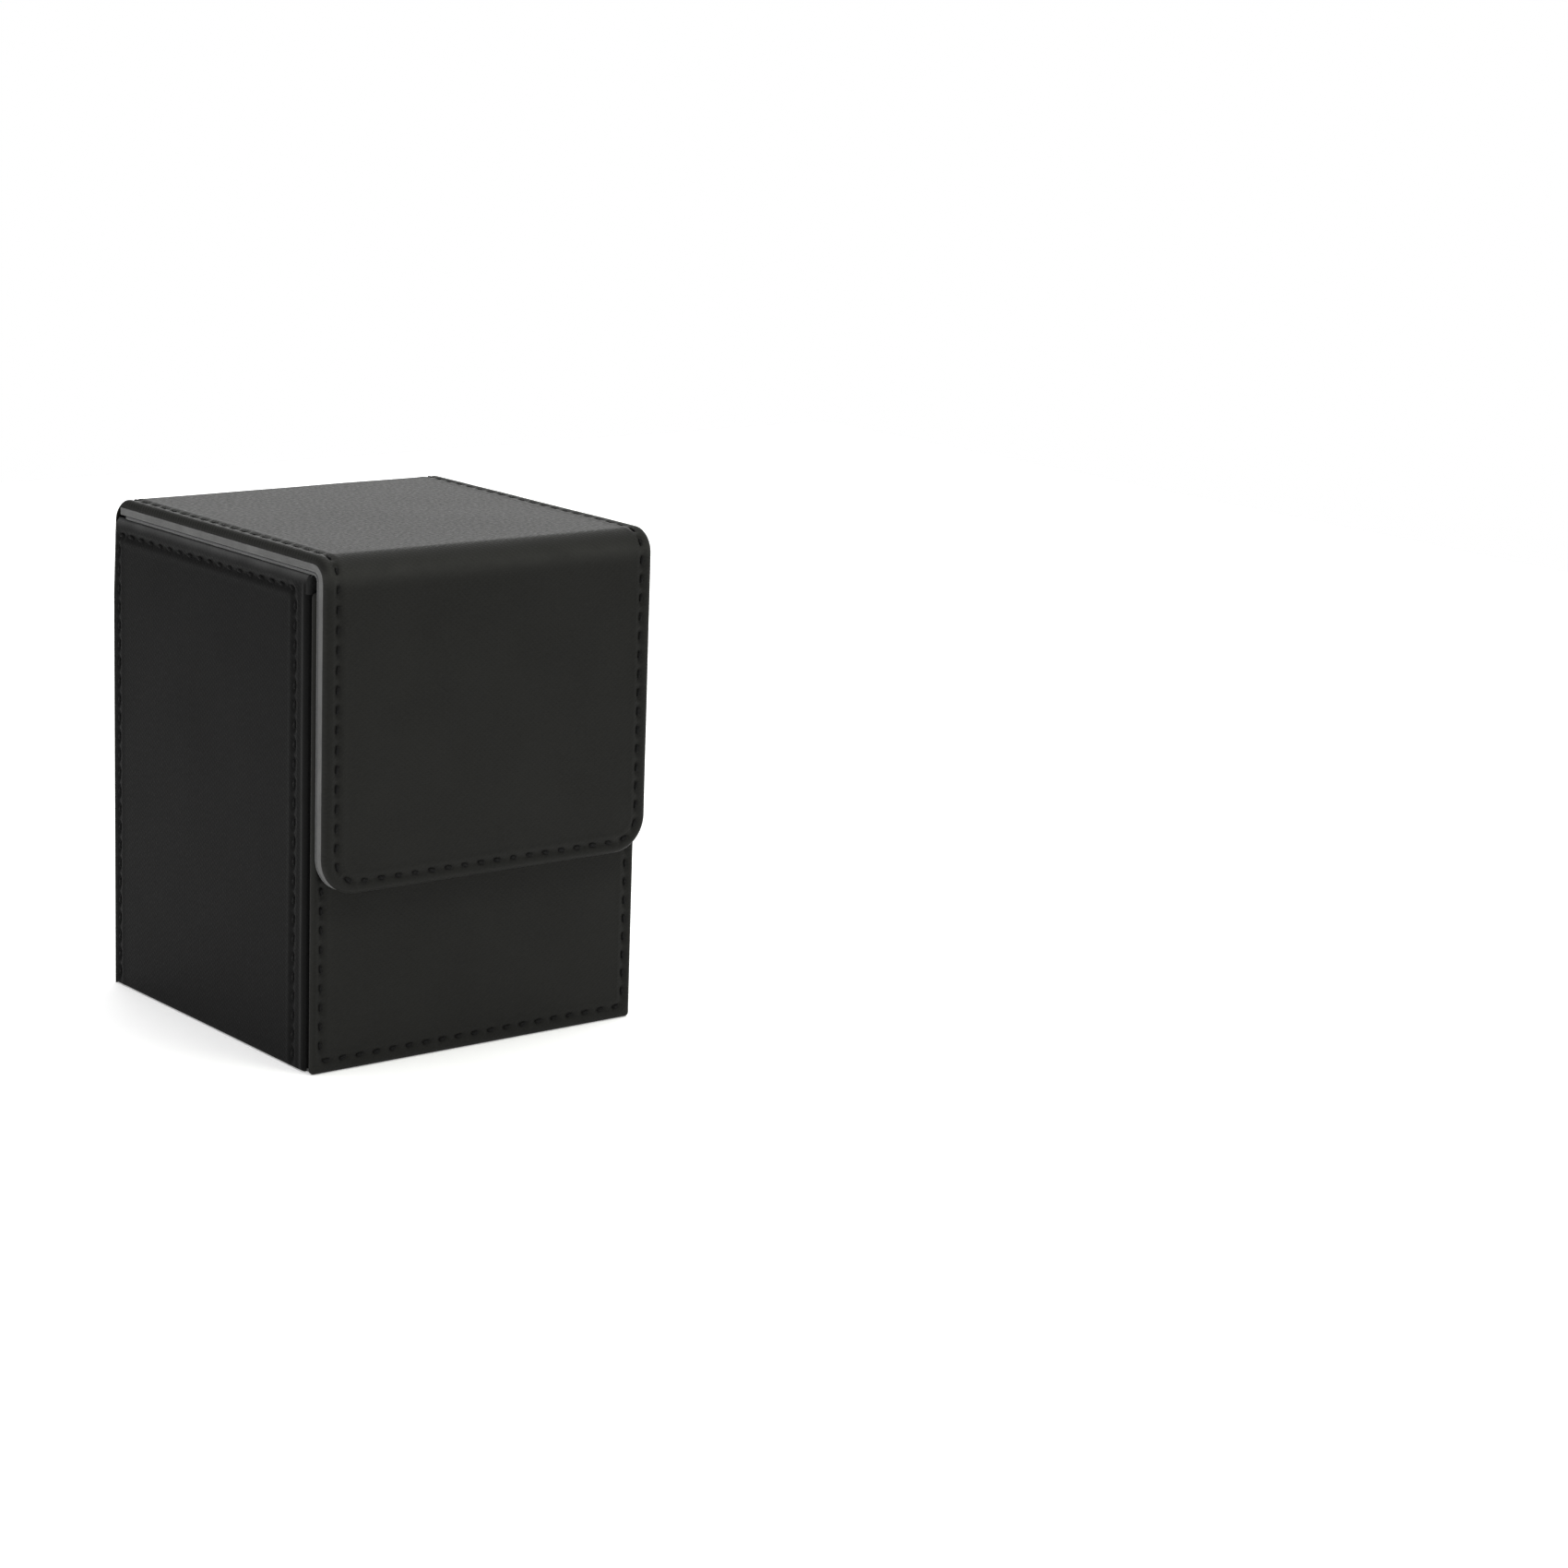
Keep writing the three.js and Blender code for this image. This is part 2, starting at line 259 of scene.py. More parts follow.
def make_object(name, bm, material, flat, edge_distance):
    """Turns a closed bmesh into an object, with a grain map and a note of how much each point is painted lighter
    for wear, sheen and edge highlight.
    """
    grain = bm.loops.layers.uv[GRAIN]
    edge = bm.verts.layers.float[EDGE]
    for vert, (a, b) in flat.items():
        vert[edge] = bell(edge_distance(a, b), 0, WEAR_AND_SHEEN_REACH)
    for face in bm.faces:
        face.smooth = True
        for loop in face.loops:
            loop[grain].uv = flat[loop.vert]
    bmesh.ops.remove_doubles(bm, verts=bm.verts, dist=0.0001 * MM)
    bmesh.ops.recalc_face_normals(bm, faces=bm.faces)
    mesh = bpy.data.meshes.new(name)
    bm.to_mesh(mesh)
    bm.free()
    mesh.set_sharp_from_angle(angle=math.radians(50))
    mesh.materials.append(material)
    made = bpy.data.objects.new(name, mesh)
    bpy.context.scene.collection.objects.link(made)
    return made


def close(bm, outer, inner):
    """Skins two grids of points and the gap between their borders."""
    rows, columns = len(outer), len(outer[0])
    for i in range(rows - 1):
        for j in range(columns - 1):
            bm.faces.new((outer[i][j], outer[i][j + 1], outer[i + 1][j + 1], outer[i + 1][j]))
            bm.faces.new((inner[i][j], inner[i + 1][j], inner[i + 1][j + 1], inner[i][j + 1]))
    border = [(0, j) for j in range(columns - 1)]
    border += [(i, columns - 1) for i in range(rows - 1)]
    border += [(rows - 1, j) for j in range(columns - 1, 0, -1)]
    border += [(i, 0) for i in range(rows - 1, 0, -1)]
    for (i, j), (k, l) in zip(border, border[1:] + border[:1]):
        bm.faces.new((outer[i][j], inner[i][j], inner[k][l], outer[k][l]))


def sheet(name, shares, rows, place, half_width, sink, inner_under, material, edge_distance):
    """A closed sheet. Shares of the half width run across it and rows are distances along it.

    place(a, b, under) gives the point that lies this far under the outer face.
    """
    bm = start_mesh()
    flat = {}

    def layer(under):
        grid = []
        for b in rows:
            half = half_width(b)
            line = []
            for share in shares:
                vert = bm.verts.new(place(share * half, b, under(share * half, b)))
                flat[vert] = (share * half, b)
                line.append(vert)
            grid.append(line)
        return grid

    outer = layer(sink)
    inner = layer(inner_under)
    close(bm, outer, inner)
    return make_object(name, bm, material, flat, edge_distance)


def stitches(name, seam, place, material, wanted=lambda b: True):
    """One short twisted thread for each stitch of the seam, dipping into the leather at both ends."""
    bm = start_mesh()
    flat = {}
    sections, sides, twist = 10, 8, 2.2
    for centre in seam.centres:
        if not wanted(seam.at(centre).y):
            continue
        rings = []
        for i in range(sections + 1):
            t = 2 * i / sections - 1
            here = seam.at(centre + t * DASH / 2)
            ahead = seam.at(centre + t * DASH / 2 + 0.05 * MM) - seam.at(centre + t * DASH / 2 - 0.05 * MM)
            across = Vector((-ahead.y, ahead.x, 0)).normalized()
            here = here + across * (t * 0.1 * MM)
            under = PIT_DEPTH - 0.2 * THREAD_RADIUS + 0.5 * MM * abs(t) ** 5
            middle = place(here.x, here.y, under)
            up = (place(here.x, here.y, under - 0.1 * MM) - middle).normalized()
            side_point = here + across * 0.1 * MM
            side = (place(side_point.x, side_point.y, under) - middle).normalized()
            ring = []
            for k in range(sides):
                angle = 2 * math.pi * k / sides
                radius = THREAD_RADIUS * (1 + 0.14 * math.cos(2 * angle - twist * 2 * t))
                radius *= 1 - 0.25 * abs(t) ** 4
                vert = bm.verts.new(middle + radius * (math.cos(angle) * side + math.sin(angle) * up))
                flat[vert] = (here.x + radius * math.cos(angle), here.y)
                ring.append(vert)
            rings.append(ring)
        for ring, after in zip(rings, rings[1:]):
            for k in range(sides):
                bm.faces.new((ring[k], ring[(k + 1) % sides], after[(k + 1) % sides], after[k]))
        bm.faces.new(rings[0][::-1])
        bm.faces.new(rings[-1])
    return make_object(name, bm, material, flat, lambda a, b: 1.0)


# ---------------------------------------------------------------- materials
class Finish:
    """A material and short ways to build its nodes."""

    def __init__(self, name):
        self.material = bpy.data.materials.new(name)
        self.material.use_nodes = True
        self.nodes = self.material.node_tree.nodes
        self.links = self.material.node_tree.links
        self.shader = self.nodes["Principled BSDF"]

    def feed(self, socket, value):
        """Links another node's output to a socket, or sets the socket to a plain value."""
        if isinstance(value, bpy.types.NodeSocket):
            self.links.new(value, socket)
        else:
            socket.default_value = value

    def node(self, kind, inputs, **settings):
        node = self.nodes.new(kind)
        for key, value in settings.items():
            setattr(node, key, value)
        for key, value in inputs.items():
            self.feed(node.inputs[key], value)
        return node

    def math(self, operation, first, second):
        return self.node("ShaderNodeMath", {0: first, 1: second}, operation=operation).outputs[0]

    def noise(self, vector, scale, detail, roughness=0.5):
        inputs = {"Vector": vector, "Scale": scale, "Detail": detail, "Roughness": roughness}
        return self.node("ShaderNodeTexNoise", inputs).outputs["Fac"]

    def ramp(self, value, low, high, start, end):
        """Spreads a value from start..end to low..high."""
        inputs = {"Value": value, "From Min": start, "From Max": end, "To Min": low, "To Max": high}
        return self.node("ShaderNodeMapRange", inputs).outputs[0]

    def mix(self, share, first, second):
        node = self.node("ShaderNodeMix", {0: share}, data_type="RGBA")
        self.feed(node.inputs[6], first)
        self.feed(node.inputs[7], second)
        return node.outputs[2]

    def bump(self, height, distance, strength):
        inputs = {"Height": height, "Distance": distance, "Strength": strength}
        normal = self.node("ShaderNodeBump", inputs).outputs["Normal"]
        self.feed(self.shader.inputs["Normal"], normal)

    def flat_mm(self, turn=0.0):
        """The place on the panel in millimetres, turned by some degrees."""
        uv = self.node("ShaderNodeUVMap", {}, uv_map=GRAIN).outputs["UV"]
        inputs = {"Vector": uv, "Scale": (1000, 1000, 1000), "Rotation": (0, 0, math.radians(turn))}
        return self.node("ShaderNodeMapping", inputs).outputs["Vector"]

    def solid_mm(self):
        """The place in the object in millimetres."""
        inside = self.node("ShaderNodeTexCoord", {}).outputs["Object"]
        inputs = {"Vector": inside, "Scale": (1000, 1000, 1000)}
        return self.node("ShaderNodeMapping", inputs).outputs["Vector"]


def grey(value, warmth=0.0):
    """A linear grey with a little less blue where its warmth is above 0, and a little more below."""
    return (value, value, value * (1 - warmth), 1)


def leather_material(name, dark, lightening_tone, warmth, gloss):
    """Imitation leather with a fine grain. It is painted lighter where its note says: wear and painted highlight
    at the edges, painted sheen on the rims and the fold.
    """
    finish = Finish(name)
    place = finish.flat_mm()
    patches = finish.noise(place, 0.06, 4)
    specks = finish.noise(place, 1.3, 2)
    darker, lighter = grey(dark * 0.92, warmth), grey(dark * 1.08, warmth)
    shade = finish.mix(finish.ramp(patches, 0, 1, 0.3, 0.7), darker, lighter)
    shade = finish.mix(finish.ramp(specks, 0, 0.5, 0.4, 0.75), shade, grey(dark * 1.35, warmth))
    # Lightening towards this tone paints a sheen on the rims and the fold and a highlight at the edges, besides
    # wear.
    wear_and_sheen = finish.node("ShaderNodeAttribute", {}, attribute_name=EDGE).outputs["Fac"]
    uneven = finish.ramp(finish.noise(place, 0.15, 3), 0.5, 0.7, 0.35, 0.65)
    lightening = finish.math("MULTIPLY", wear_and_sheen, uneven)
    shade = finish.mix(lightening, shade, grey(lightening_tone, warmth))
    finish.feed(finish.shader.inputs["Base Color"], shade)
    finish.feed(finish.shader.inputs["Roughness"], finish.ramp(specks, 0.42, 0.58, 0.3, 0.7))
    finish.shader.inputs["Specular IOR Level"].default_value = gloss
    # On the front copy the warmth tints colour and reflections alike, a painted warm light.
    finish.shader.inputs["Specular Tint"].default_value = grey(1.0, warmth)

    hatch = []
    for turn in (52, -52):
        inputs = {"Vector": finish.flat_mm(turn), "Scale": 0.42, "Distortion": 1.4, "Detail": 2.0}
        hatch.append(finish.node("ShaderNodeTexWave", inputs).outputs["Fac"])
    crossed = finish.math("MULTIPLY", hatch[0], hatch[1])
    pebble = finish.node("ShaderNodeTexVoronoi", {"Vector": place, "Scale": 1.5}).outputs["Distance"]
    height = finish.math("ADD", crossed, finish.math("MULTIPLY", pebble, -0.5))
    finish.bump(height, 0.06 * MM, 0.5)
    return finish.material


def lining_material():
    """Grey microfibre with a soft nap."""
    finish = Finish("microfibre")
    place = finish.flat_mm()
    nap = finish.noise(place, 0.25, 4)
    fibres = finish.noise(place, 5.0, 4, 0.7)
    shade = finish.mix(finish.ramp(nap, 0, 1, 0.35, 0.65), grey(0.05, -0.02), grey(0.07, -0.02))
    shade = finish.mix(finish.ramp(fibres, 0, 0.6, 0.4, 0.8), shade, grey(0.11, -0.02))
    finish.feed(finish.shader.inputs["Base Color"], shade)
    finish.feed(finish.shader.inputs["Roughness"], finish.ramp(nap, 0.85, 1.0, 0.3, 0.7))
    finish.shader.inputs["Sheen Weight"].default_value = 0.35
    finish.shader.inputs["Sheen Roughness"].default_value = 0.4
    finish.bump(fibres, 0.12 * MM, 0.8)
    return finish.material


def board_material(name, low, high, relief):
    """Pressed fibre with flecks."""
    finish = Finish(name)
    place = finish.solid_mm()
    flecks = finish.noise(place, 3.2, 5, 0.65)
    clouds = finish.noise(place, 0.22, 3)
    shade = finish.mix(finish.ramp(clouds, 0, 1, 0.3, 0.7), grey(low, 0.01), grey(high, 0.01))
    shade = finish.mix(finish.ramp(flecks, 0, 0.5, 0.5, 0.8), shade, grey(high * 1.3, 0.01))
    finish.feed(finish.shader.inputs["Base Color"], shade)
    finish.feed(finish.shader.inputs["Roughness"], finish.ramp(flecks, 0.8, 0.95, 0.3, 0.7))
    finish.bump(flecks, relief, 0.8)
    return finish.material


def thread_material():
    """Black thread of twisted plies."""
    finish = Finish("black_thread")
    place = finish.flat_mm(40)
    inputs = {"Vector": place, "Scale": 1.4, "Distortion": 0.6}
    plies = finish.node("ShaderNodeTexWave", inputs).outputs["Fac"]
    fuzz = finish.noise(place, 9.0, 2)
    shade = finish.mix(plies, grey(0.004), grey(0.011))
    finish.feed(finish.shader.inputs["Base Color"], shade)
    finish.feed(finish.shader.inputs["Roughness"], finish.ramp(fuzz, 0.55, 0.8, 0.3, 0.7))
    finish.shader.inputs["Specular IOR Level"].default_value = 0.1
    finish.bump(plies, 0.05 * MM, 0.7)
    return finish.material


def nickel_material():
    """Nickel plate with faint stains."""
    finish = Finish("nickel_plate")
    place = finish.solid_mm()
    stains = finish.noise(place, 0.5, 4)
    finish.feed(finish.shader.inputs["Base Color"], finish.mix(stains, grey(0.45, 0.02), grey(0.62, 0.02)))
    finish.feed(finish.shader.inputs["Roughness"], finish.ramp(stains, 0.22, 0.42, 0.3, 0.7))
    finish.shader.inputs["Metallic"].default_value = 1.0
    finish.bump(finish.noise(place, 4.0, 2), 0.01 * MM, 0.4)
    return finish.material


# The wrap and the front wall take a lighter, warmer, glossier copy of the side walls' leather: painted light,
# with a painted warm light on the front and painted shade on the sides.
LEATHER_LIT_WARM = leather_material("black_leather_front_lit", 0.0148, 0.038, 0.06, 0.055)
LEATHER_SHADED_COOL = leather_material("black_leather_sides_shaded", 0.0095, 0.14, 0.0, 0.024)
LINING = lining_material()
CORE = board_material("grey_core", 0.1, 0.135, 0.1 * MM)
CARDBOARD = board_material("grey_cardboard", 0.24, 0.3, 0.08 * MM)
THREAD = thread_material()
NICKEL = nickel_material()

# ---------------------------------------------------------------- the wrap
# One long sandwich runs up the rear, over the hinge, forwards as the lid, over the fold and down as the
# flap. A distance along it is measured on its outer face from the rear panel's bottom edge.
HINGE_AT = HINGE_Z
LID_AT = HINGE_AT + HINGE_RADIUS * math.pi / 2
FOLD_AT = LID_AT + HINGE_Y - FOLD_Y
FLAP_AT = FOLD_AT + FOLD_RADIUS * math.pi / 2
WRAP_END = FLAP_AT + FOLD_Z - FLAP_LOW.z
LID_MIDDLE = (LID_AT + FOLD_AT) / 2
NARROWING = 15 * MM
PADDING_RUN = 4.4 * MM
# Where a sheen is painted across the lower half of the fold.
FOLD_PAINTED_SHEEN_AT = FOLD_AT + 0.8 * (FLAP_AT - FOLD_AT)
LEAST_LEATHER = 0.05 * MM


def on_wrap(x, along, under):
    """The point of the wrap at this distance along it and this far under its outer face."""
    if along <= HINGE_AT:
        return Vector((x, REAR_FACE - under, along))
    if along <= LID_AT:
        angle = (along - HINGE_AT) / HINGE_RADIUS
        radius = HINGE_RADIUS - under
        return Vector((x, HINGE_Y + radius * math.cos(angle), HINGE_Z + radius * math.sin(angle)))
    if along <= FOLD_AT:
        return Vector((x, HINGE_Y - (along - LID_AT), TOP - under))
    if along <= FLAP_AT:
        angle = (along - FOLD_AT) / FOLD_RADIUS
        radius = FOLD_RADIUS - under
        return Vector((x, FOLD_Y - radius * math.sin(angle), FOLD_Z + radius * math.cos(angle)))
    return Vector((x, FLAP_FACE + under, FOLD_Z - (along - FLAP_AT)))


def wrap_side(along):
    """Half the wrap's width between its corners: the tub's at the rear, and narrower from the hinge on."""
    share = min(1.0, max(0.0, (HINGE_AT - along) / NARROWING))
    return WRAP_HALF + (HALF - WRAP_HALF) * share


def wrap_half(along):
    """Half the wrap's width, which shrinks at the flap's round corners."""
    short = FLAP_CORNER - (WRAP_END - along)
    if short <= 0:
        return wrap_side(along)
    return WRAP_HALF - FLAP_CORNER + math.sqrt(max(0.0, FLAP_CORNER**2 - short**2))


def wrap_edge(x, along):
    """Distance from the nearest edge of the wrap."""
    side = wrap_side(along) - abs(x)
    end = WRAP_END - along
    if side < FLAP_CORNER and end < FLAP_CORNER:
        return FLAP_CORNER - math.hypot(FLAP_CORNER - side, FLAP_CORNER - end)
    return max(0.0, min(side, end, along))


def wrap_wear_and_sheen(x, along):
    """Nearness to what is painted lighter: a painted sheen on the lower half of the fold most, the edges less,
    part wear and part painted highlight.
    """
    return min(wrap_edge(x, along) + LESS_WEAR_AND_SHEEN, 0.4 * abs(along - FOLD_PAINTED_SHEEN_AT))


def wrap_seam():
    """A closed line of stitches all round the wrap."""
    flap_low, flap_high = seam_box("flap_seam")
    x = flap_high.x
    start = seam_box("rear_seam")[0].z
    end = FLAP_AT + FOLD_Z - flap_low.z
    radius = FLAP_CORNER - (WRAP_HALF - x)
    points = [(0, start)]
    points += arc((x - SEAM_CORNER, start + SEAM_CORNER), SEAM_CORNER, -90, 0)
    points += arc((x - radius, end - radius), radius, 0, 90)
    points += arc((radius - x, end - radius), radius, 90, 180)
    points += arc((SEAM_CORNER - x, start + SEAM_CORNER), SEAM_CORNER, 180, 270)
    return Seam(points + [(0, start)])


def flap_rows(step):
    """Rows down the flap, closer together where its bottom corners turn in."""
    round_from = WRAP_END - FLAP_CORNER
    rows = even(FLAP_AT, round_from, step)
    rows += even(round_from, WRAP_END, FINE)
    for degrees in range(5, 90, 5):
        rows.append(WRAP_END - FLAP_CORNER * (1 - math.sin(math.radians(degrees))))
    return sorted(set(rows))


def wrap_inner(x, along):
    """The leather's thickness: plain up the rear, with a thin padding that grows over the hinge."""
    share = min(1.0, max(0.0, (along - LID_AT) / PADDING_RUN + 1))
    return LEATHER + (PADDED_LEATHER - LEATHER) * share


WRAP_SEAM = wrap_seam()


def blend_at_hinge(piece, under):
    """Bends a piece that lies this far under the wrap's face from the tub to the lid."""
    radius = HINGE_RADIUS - under
    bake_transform(piece, "tub", "lid", start=(0, HINGE_Y + radius, HINGE_Z), end=(0, HINGE_Y, HINGE_Z + radius))


def blend_at_fold(piece, under):
    """Bends a piece that lies this far under the wrap's face from the lid to the flap."""
    radius = FOLD_RADIUS - under
    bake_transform(piece, "lid", "flap", start=(0, FOLD_Y, FOLD_Z + radius), end=(0, FOLD_Y - radius, FOLD_Z))


def wrap_leather():
    """The leather of the wrap, in two pieces that meet across the middle of the lid."""
    shares = [x / HALF for x in bordered(-HALF, HALF)]
    sink = leather_sink(WRAP_SEAM, wrap_edge, 3.5, WRAP_ROLL)
    rear_rows = bordered(0, HINGE_AT, fine_high=0.5 * MM, middle=ALONG_SEAM)
    rear_rows += even(HINGE_AT, LID_AT, ALONG_SEAM)[1:] + even(LID_AT, LID_MIDDLE, ALONG_SEAM)[1:]
    front_rows = even(LID_MIDDLE, FOLD_AT, ALONG_SEAM)[:-1] + even(FOLD_AT, FLAP_AT, ALONG_SEAM)[:-1]
    front_rows += flap_rows(ALONG_SEAM)
    parts = (
        ("wrap_leather_rear", rear_rows, ("rear_cover", "hinge_cover"), blend_at_hinge),
        ("wrap_leather_front", front_rows, ("lid_cover", "fold_cover", "flap_cover"), blend_at_fold),
    )
    for name, rows, nodes, blend in parts:
        piece = sheet(
            name,
            shares,
            rows,
            on_wrap,
            wrap_half,
            lambda a, b: min(sink(a, b), wrap_inner(a, b) - LEAST_LEATHER),
            wrap_inner,
            LEATHER_LIT_WARM,
            wrap_wear_and_sheen,
        )
        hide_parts(*nodes)
        blend(piece, 0)


def wrap_threads():
    """The wrap's thread, in two pieces that part at the middle of the lid."""
    parts = (
        ("wrap_stitches_rear", lambda b: b < LID_MIDDLE, ("rear_seam",), blend_at_hinge),
        (
            "wrap_stitches_front",
            lambda b: b >= LID_MIDDLE,
            ("lid_seam_left", "lid_seam_right", "flap_seam"),
            blend_at_fold,
        ),
    )
    for name, wanted, nodes, blend in parts:
        piece = stitches(name, WRAP_SEAM, on_wrap, THREAD, wanted)
        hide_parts(*nodes)
        blend(piece, 0)


def strip(name, rows, half, outer_under, inner_under, material, edge_round=0.12 * MM):
    """A plain layer of the wrap between two depths, with slightly rounded edges."""

    def edge(x, along):
        return max(0.0, min(half - abs(x), wrap_edge(x, along)))

    def sink(x, along):
        return outer_under + rolled(edge(x, along), edge_round) + 0.4 * waves(x, along, 8.5)

    def under(x, along):
        return inner_under - rolled(edge(x, along), edge_round)

    near = [0, 0.03 * MM, 0.07 * MM, edge_round, 0.4 * MM]
    low = [-half + offset for offset in near]
    across = low[:-1] + even(-half + near[-1], half - near[-1], COARSE)[:-1] + [-x for x in low[::-1]]
    shares = [x / WRAP_HALF for x in across]
    return sheet(name, shares, rows, on_wrap, wrap_half, sink, under, material, edge)


def wrap_linings():
    """The linings under the lid, behind the flap and across both bends."""
    outer = TOP - LINING_HIGH.z
    inner = TOP - LINING_LOW.z + GLUE
    step = 0.9 * MM
    front_rows = even(LID_MIDDLE, FOLD_AT, step)[:-1] + even(FOLD_AT, FLAP_AT, step)[:-1]
    front_rows += flap_rows(step)
    front = strip("wrap_lining_front", front_rows, WRAP_HALF, outer, inner, LINING)
    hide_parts("fold_lining", "flap_lining")
    blend_at_fold(front, inner)

    back = strip("wrap_lining_lid", even(LID_AT, LID_MIDDLE, step), WRAP_HALF, outer, inner, LINING)
    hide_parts("lid_lining")
    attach(back, "lid")

    hinge = strip("wrap_lining_hinge", even(HINGE_AT, LID_AT, 0.45 * MM), INSIDE_HALF, outer, inner, LINING)
    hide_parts("hinge_lining")
    blend_at_hinge(hinge, inner)


def fold_core():
    """The light core that follows the bend between lid and flap."""
    outer = TOP - CORE_HIGH.z
    inner = TOP - CORE_LOW.z
    rows = even(FOLD_AT, FLAP_AT, 0.45 * MM)
    core = strip("fold_core_strip", rows, WRAP_HALF, outer, inner, CORE, 0.02 * MM)
    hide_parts("fold_core")
    blend_at_fold(core, outer)


wrap_leather()
wrap_threads()
wrap_linings()
fold_core()

# ---------------------------------------------------------------- side walls
# A distance along a side cover is measured on its outer face from the bottom, over the rim and down the
# inside. A distance across it is measured backwards from where its flat face starts. Below 0 it turns in
# round the front edge, goes down the groove's wall and forwards on the groove's floor.
LIP_RADIUS = 0.5 * MM
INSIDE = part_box("right_lining")[0].x
TURN_IN_BOTTOM = RIM - 10 * MM
SIDE_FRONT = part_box("right_board")[0].y - LEATHER - GLUE
SIDE_REAR = SIDE_HIGH.y
EDGE_BEND = 1.05 * MM
GROOVE_DEPTH = 2 * MM
GROOVE_CORNER = 0.3 * MM
FLAT_FRONT = SIDE_FRONT + EDGE_BEND
SIDE_RUN = SIDE_REAR - FLAT_FRONT
SIDE_UNDER = LEATHER + 0.05 * MM
UNDER_HINGE = HINGE_RADIUS - LEATHER - GLUE


def measured(points):
    """Each point's distance along a line of points."""
    distances = [0.0]
    for here, after in zip(points, points[1:]):
        distances.append(distances[-1] + math.hypot(after[0] - here[0], after[1] - here[1]))
    return distances


def between(distances, entries, distance):
    """The entry at a distance, mixed from the two nearest ones."""
    i = min(max(bisect.bisect_right(distances, distance), 1), len(distances) - 1)
    share = (distance - distances[i - 1]) / (distances[i] - distances[i - 1])
    return [low + share * (high - low) for low, high in zip(entries[i - 1], entries[i])]


def rim_section():
    """The side cover's section over the rim: half width, height and the direction straight under it."""
    section = [(HALF, 0, -1, 0)]
    for angle in even(0, math.pi / 2, math.pi / 24):
        right, up = math.cos(angle), math.sin(angle)
        x = HALF - RIM_ROUND_ACROSS + RIM_ROUND_ACROSS * right
        section.append((x, RIM - RIM_ROUND + RIM_ROUND * up, -right, -up))
    for angle in even(math.pi / 2, math.pi, math.pi / 12):
        right, up = math.cos(angle), math.sin(angle)
        x = INSIDE + LIP_RADIUS + LIP_RADIUS * right
        section.append((x, RIM - LIP_RADIUS + LIP_RADIUS * up, -right, -up))
    return section + [(INSIDE, TURN_IN_BOTTOM, 1, 0)]


def groove_section():
    """The side cover's turn at the groove: place before the flat face, depth and direction under it."""
    section = []
    for angle in even(0, math.pi / 2, math.pi / 12):
        forward, deep = math.sin(angle), math.cos(angle)
        section.append((-EDGE_BEND * forward, EDGE_BEND - EDGE_BEND * deep, forward, deep))
    for angle in even(0, math.pi / 2, math.pi / 8):
        forward, deep = math.cos(angle), math.sin(angle)
        y = -EDGE_BEND - GROOVE_CORNER + GROOVE_CORNER * forward
        section.append((y, GROOVE_DEPTH - GROOVE_CORNER + GROOVE_CORNER * deep, forward, deep))
    end = FRONT_BACK + 0.2 * MM - FLAT_FRONT
    return section + [(end, GROOVE_DEPTH, 0, 1)]


RIM_SECTION = rim_section()
RIM_AT = measured(RIM_SECTION)
GROOVE_SECTION = groove_section()
GROOVE_AT = measured(GROOVE_SECTION)
SHOULDER_AT = RIM_AT[1]
SHOULDER_END = RIM_AT[13]
LIP_AT = RIM_AT[14]
SIDE_END = RIM_AT[-1]


def side_reach(along):
    """How far back the side cover reaches, at this distance along it."""
    if along > SHOULDER_END:
        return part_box("rear_lining")[1].y
    above = max(0.0, between(RIM_AT, RIM_SECTION, along)[1] - HINGE_Z)
    return HINGE_Y + math.sqrt(UNDER_HINGE**2 - above**2)


def side_point(sign):
    """The place function of the left (-1) or right (1) side cover."""

    def place(a, along, under):
        y = FLAT_FRONT + a / SIDE_RUN * (side_reach(along) - FLAT_FRONT)
        deep = under
        if a < 0:
            forward, depth, back, inward = between(GROOVE_AT, GROOVE_SECTION, -a)
            shallow = min(1.0, max(0.05, 1 - (along - SHOULDER_AT) / RIM_ROUND))
            y = FLAT_FRONT + forward + under * back
            deep = (depth + under * inward) * shallow + under * (1 - shallow)
        x, z, to_x, to_z = between(RIM_AT, RIM_SECTION, along)
        return Vector((sign * (x + deep * to_x), y, z + deep * to_z))

    return place


def side_border(a, along):
    """Distance from the rear or bottom edge of the side cover's visible face."""
    return max(0.0, min(SIDE_RUN - a, along))


def side_wear_and_sheen(a, along):
    """Nearness to what is painted lighter: a painted sheen on the rim most, the bend at the groove and the edges
    less, part wear and part painted highlight.
    """
    edge = min(side_border(a, along), abs(a - 0.3 * MM))
    return min(edge + LESS_WEAR_AND_SHEEN, 0.45 * abs(along - SHOULDER_END))


def side_inner(a, along):
    """The cover is thinner where it lines the inside of the wall."""
    thin = min(1.0, max(0.0, (along - SHOULDER_END) / (LIP_AT - SHOULDER_END)))
    return SIDE_UNDER + (LIP_RADIUS - SIDE_UNDER) * thin


def side_seam():
    """Stitches up the front edge, along the rim and down the rear edge."""
    low, high = seam_box("right_seam")
    front, rear, top = low.y - FLAT_FRONT, high.y - FLAT_FRONT, high.z
    points = [(front, 1 * MM)]
    points += arc((front + SEAM_CORNER, top - SEAM_CORNER), SEAM_CORNER, 180, 90)
    points += arc((rear - SEAM_CORNER, top - SEAM_CORNER), SEAM_CORNER, 90, 0)
    return Seam(points + [(rear, 1 * MM)])


